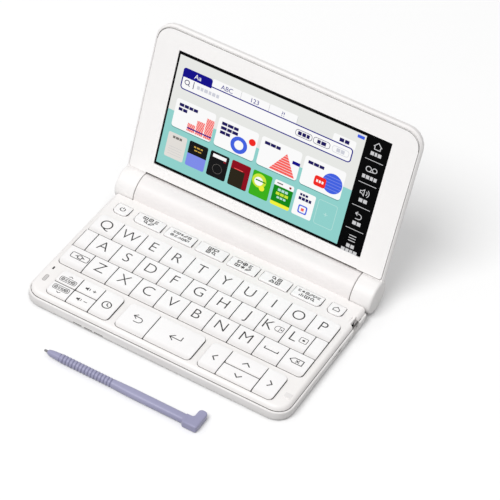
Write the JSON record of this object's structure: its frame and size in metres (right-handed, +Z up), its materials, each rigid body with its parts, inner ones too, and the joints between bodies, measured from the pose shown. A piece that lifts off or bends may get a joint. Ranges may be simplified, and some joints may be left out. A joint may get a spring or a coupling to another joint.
{
  "type": "electronic dictionary",
  "caption": "Clamshell pocket electronic dictionary with letter keyboard, touch display lid, battery barrel on the hinge line and a hooked stylus.",
  "frame": {"origin": "middle of the case's flat underside, which the feet hold 0.5 mm above the surface", "axes": "+X to the user's right, +Y away from the user towards the hinge, +Z up"},
  "size_m": [0.1478, 0.1487, 0.1014],
  "materials": {
    "shell": "satin warm white",
    "deck": "satin warm white",
    "key": "satin white with charcoal legends",
    "membrane": "matt silicone",
    "board": "green solder mask",
    "battery": "plain sleeve",
    "shaft": "turned steel",
    "display": "gloss touch panel with a lit screen",
    "stylus": "satin lavender"
  },
  "bodies": {
    "case": {"bottom_case": "shell", "top_case": "deck", "battery_pair": "battery", "main_board": "board", "key_membrane": "membrane", "hinge_shaft_left": "shaft", "hinge_shaft_right": "shaft"},
    "lid": {"lid_back_cover": "shell", "lid_front_panel": "deck", "display_panel": "display"},
    "battery_cover": {"battery_cover": "shell"},
    "stylus": {"stylus": "stylus"},
    "key_power": {"key_power": "key"},
    "key_func_1": {"key_func_1": "key"},
    "key_func_2": {"key_func_2": "key"},
    "key_func_3": {"key_func_3": "key"},
    "key_func_4": {"key_func_4": "key"},
    "key_func_5": {"key_func_5": "key"},
    "key_func_6": {"key_func_6": "key"},
    "key_home": {"key_home": "key"},
    "key_q": {"key_q": "key"},
    "key_w": {"key_w": "key"},
    "key_e": {"key_e": "key"},
    "key_r": {"key_r": "key"},
    "key_t": {"key_t": "key"},
    "key_y": {"key_y": "key"},
    "key_u": {"key_u": "key"},
    "key_i": {"key_i": "key"},
    "key_o": {"key_o": "key"},
    "key_p": {"key_p": "key"},
    "key_a": {"key_a": "key"},
    "key_s": {"key_s": "key"},
    "key_d": {"key_d": "key"},
    "key_f": {"key_f": "key"},
    "key_g": {"key_g": "key"},
    "key_h": {"key_h": "key"},
    "key_j": {"key_j": "key"},
    "key_k": {"key_k": "key"},
    "key_l": {"key_l": "key"},
    "key_shift": {"key_shift": "key"},
    "key_z": {"key_z": "key"},
    "key_x": {"key_x": "key"},
    "key_c": {"key_c": "key"},
    "key_v": {"key_v": "key"},
    "key_b": {"key_b": "key"},
    "key_n": {"key_n": "key"},
    "key_m": {"key_m": "key"},
    "key_space": {"key_space": "key"},
    "key_delete": {"key_delete": "key"},
    "key_page_up": {"key_page_up": "key"},
    "key_page_down": {"key_page_down": "key"},
    "key_volume_up": {"key_volume_up": "key"},
    "key_volume_down": {"key_volume_down": "key"},
    "key_history": {"key_history": "key"},
    "key_back": {"key_back": "key"},
    "key_enter": {"key_enter": "key"},
    "key_left": {"key_left": "key"},
    "key_up": {"key_up": "key"},
    "key_down": {"key_down": "key"},
    "key_right": {"key_right": "key"}
  },
  "joints": [
    {"name": "lid_hinge", "type": "hinge", "parent": "case", "child": "lid", "pos_m": [0, 0.04346, 0.009], "axis": [1, 0, 0], "range_deg": [-58, 102]},
    {"name": "battery_cover_slide", "type": "slide", "parent": "case", "child": "battery_cover", "axis": [0, 1, 0], "range_m": [0, 0.006]},
    {"name": "stylus_lift", "type": "slide", "parent": "case", "child": "stylus", "axis": [0, 0, 1], "range_m": [0, 0.03]},
    {"name": "key_power_press", "type": "slide", "parent": "case", "child": "key_power", "axis": [0, 0, -1], "range_m": [0, 0.0006], "stiffness_N_per_m": 300},
    {"name": "key_func_1_press", "type": "slide", "parent": "case", "child": "key_func_1", "axis": [0, 0, -1], "range_m": [0, 0.0006], "stiffness_N_per_m": 300},
    {"name": "key_func_2_press", "type": "slide", "parent": "case", "child": "key_func_2", "axis": [0, 0, -1], "range_m": [0, 0.0006], "stiffness_N_per_m": 300},
    {"name": "key_func_3_press", "type": "slide", "parent": "case", "child": "key_func_3", "axis": [0, 0, -1], "range_m": [0, 0.0006], "stiffness_N_per_m": 300},
    {"name": "key_func_4_press", "type": "slide", "parent": "case", "child": "key_func_4", "axis": [0, 0, -1], "range_m": [0, 0.0006], "stiffness_N_per_m": 300},
    {"name": "key_func_5_press", "type": "slide", "parent": "case", "child": "key_func_5", "axis": [0, 0, -1], "range_m": [0, 0.0006], "stiffness_N_per_m": 300},
    {"name": "key_func_6_press", "type": "slide", "parent": "case", "child": "key_func_6", "axis": [0, 0, -1], "range_m": [0, 0.0006], "stiffness_N_per_m": 300},
    {"name": "key_home_press", "type": "slide", "parent": "case", "child": "key_home", "axis": [0, 0, -1], "range_m": [0, 0.0006], "stiffness_N_per_m": 300},
    {"name": "key_q_press", "type": "slide", "parent": "case", "child": "key_q", "axis": [0, 0, -1], "range_m": [0, 0.0006], "stiffness_N_per_m": 300},
    {"name": "key_w_press", "type": "slide", "parent": "case", "child": "key_w", "axis": [0, 0, -1], "range_m": [0, 0.0006], "stiffness_N_per_m": 300},
    {"name": "key_e_press", "type": "slide", "parent": "case", "child": "key_e", "axis": [0, 0, -1], "range_m": [0, 0.0006], "stiffness_N_per_m": 300},
    {"name": "key_r_press", "type": "slide", "parent": "case", "child": "key_r", "axis": [0, 0, -1], "range_m": [0, 0.0006], "stiffness_N_per_m": 300},
    {"name": "key_t_press", "type": "slide", "parent": "case", "child": "key_t", "axis": [0, 0, -1], "range_m": [0, 0.0006], "stiffness_N_per_m": 300},
    {"name": "key_y_press", "type": "slide", "parent": "case", "child": "key_y", "axis": [0, 0, -1], "range_m": [0, 0.0006], "stiffness_N_per_m": 300},
    {"name": "key_u_press", "type": "slide", "parent": "case", "child": "key_u", "axis": [0, 0, -1], "range_m": [0, 0.0006], "stiffness_N_per_m": 300},
    {"name": "key_i_press", "type": "slide", "parent": "case", "child": "key_i", "axis": [0, 0, -1], "range_m": [0, 0.0006], "stiffness_N_per_m": 300},
    {"name": "key_o_press", "type": "slide", "parent": "case", "child": "key_o", "axis": [0, 0, -1], "range_m": [0, 0.0006], "stiffness_N_per_m": 300},
    {"name": "key_p_press", "type": "slide", "parent": "case", "child": "key_p", "axis": [0, 0, -1], "range_m": [0, 0.0006], "stiffness_N_per_m": 300},
    {"name": "key_a_press", "type": "slide", "parent": "case", "child": "key_a", "axis": [0, 0, -1], "range_m": [0, 0.0006], "stiffness_N_per_m": 300},
    {"name": "key_s_press", "type": "slide", "parent": "case", "child": "key_s", "axis": [0, 0, -1], "range_m": [0, 0.0006], "stiffness_N_per_m": 300},
    {"name": "key_d_press", "type": "slide", "parent": "case", "child": "key_d", "axis": [0, 0, -1], "range_m": [0, 0.0006], "stiffness_N_per_m": 300},
    {"name": "key_f_press", "type": "slide", "parent": "case", "child": "key_f", "axis": [0, 0, -1], "range_m": [0, 0.0006], "stiffness_N_per_m": 300},
    {"name": "key_g_press", "type": "slide", "parent": "case", "child": "key_g", "axis": [0, 0, -1], "range_m": [0, 0.0006], "stiffness_N_per_m": 300},
    {"name": "key_h_press", "type": "slide", "parent": "case", "child": "key_h", "axis": [0, 0, -1], "range_m": [0, 0.0006], "stiffness_N_per_m": 300},
    {"name": "key_j_press", "type": "slide", "parent": "case", "child": "key_j", "axis": [0, 0, -1], "range_m": [0, 0.0006], "stiffness_N_per_m": 300},
    {"name": "key_k_press", "type": "slide", "parent": "case", "child": "key_k", "axis": [0, 0, -1], "range_m": [0, 0.0006], "stiffness_N_per_m": 300},
    {"name": "key_l_press", "type": "slide", "parent": "case", "child": "key_l", "axis": [0, 0, -1], "range_m": [0, 0.0006], "stiffness_N_per_m": 300},
    {"name": "key_shift_press", "type": "slide", "parent": "case", "child": "key_shift", "axis": [0, 0, -1], "range_m": [0, 0.0006], "stiffness_N_per_m": 300},
    {"name": "key_z_press", "type": "slide", "parent": "case", "child": "key_z", "axis": [0, 0, -1], "range_m": [0, 0.0006], "stiffness_N_per_m": 300},
    {"name": "key_x_press", "type": "slide", "parent": "case", "child": "key_x", "axis": [0, 0, -1], "range_m": [0, 0.0006], "stiffness_N_per_m": 300},
    {"name": "key_c_press", "type": "slide", "parent": "case", "child": "key_c", "axis": [0, 0, -1], "range_m": [0, 0.0006], "stiffness_N_per_m": 300},
    {"name": "key_v_press", "type": "slide", "parent": "case", "child": "key_v", "axis": [0, 0, -1], "range_m": [0, 0.0006], "stiffness_N_per_m": 300},
    {"name": "key_b_press", "type": "slide", "parent": "case", "child": "key_b", "axis": [0, 0, -1], "range_m": [0, 0.0006], "stiffness_N_per_m": 300},
    {"name": "key_n_press", "type": "slide", "parent": "case", "child": "key_n", "axis": [0, 0, -1], "range_m": [0, 0.0006], "stiffness_N_per_m": 300},
    {"name": "key_m_press", "type": "slide", "parent": "case", "child": "key_m", "axis": [0, 0, -1], "range_m": [0, 0.0006], "stiffness_N_per_m": 300},
    {"name": "key_space_press", "type": "slide", "parent": "case", "child": "key_space", "axis": [0, 0, -1], "range_m": [0, 0.0006], "stiffness_N_per_m": 300},
    {"name": "key_delete_press", "type": "slide", "parent": "case", "child": "key_delete", "axis": [0, 0, -1], "range_m": [0, 0.0006], "stiffness_N_per_m": 300},
    {"name": "key_page_up_press", "type": "slide", "parent": "case", "child": "key_page_up", "axis": [0, 0, -1], "range_m": [0, 0.0006], "stiffness_N_per_m": 300},
    {"name": "key_page_down_press", "type": "slide", "parent": "case", "child": "key_page_down", "axis": [0, 0, -1], "range_m": [0, 0.0006], "stiffness_N_per_m": 300},
    {"name": "key_volume_up_press", "type": "slide", "parent": "case", "child": "key_volume_up", "axis": [0, 0, -1], "range_m": [0, 0.0006], "stiffness_N_per_m": 300},
    {"name": "key_volume_down_press", "type": "slide", "parent": "case", "child": "key_volume_down", "axis": [0, 0, -1], "range_m": [0, 0.0006], "stiffness_N_per_m": 300},
    {"name": "key_history_press", "type": "slide", "parent": "case", "child": "key_history", "axis": [0, 0, -1], "range_m": [0, 0.0006], "stiffness_N_per_m": 300},
    {"name": "key_back_press", "type": "slide", "parent": "case", "child": "key_back", "axis": [0, 0, -1], "range_m": [0, 0.0006], "stiffness_N_per_m": 300},
    {"name": "key_enter_press", "type": "slide", "parent": "case", "child": "key_enter", "axis": [0, 0, -1], "range_m": [0, 0.0006], "stiffness_N_per_m": 300},
    {"name": "key_left_press", "type": "slide", "parent": "case", "child": "key_left", "axis": [0, 0, -1], "range_m": [0, 0.0006], "stiffness_N_per_m": 300},
    {"name": "key_up_press", "type": "slide", "parent": "case", "child": "key_up", "axis": [0, 0, -1], "range_m": [0, 0.0006], "stiffness_N_per_m": 300},
    {"name": "key_down_press", "type": "slide", "parent": "case", "child": "key_down", "axis": [0, 0, -1], "range_m": [0, 0.0006], "stiffness_N_per_m": 300},
    {"name": "key_right_press", "type": "slide", "parent": "case", "child": "key_right", "axis": [0, 0, -1], "range_m": [0, 0.0006], "stiffness_N_per_m": 300}
  ]
}
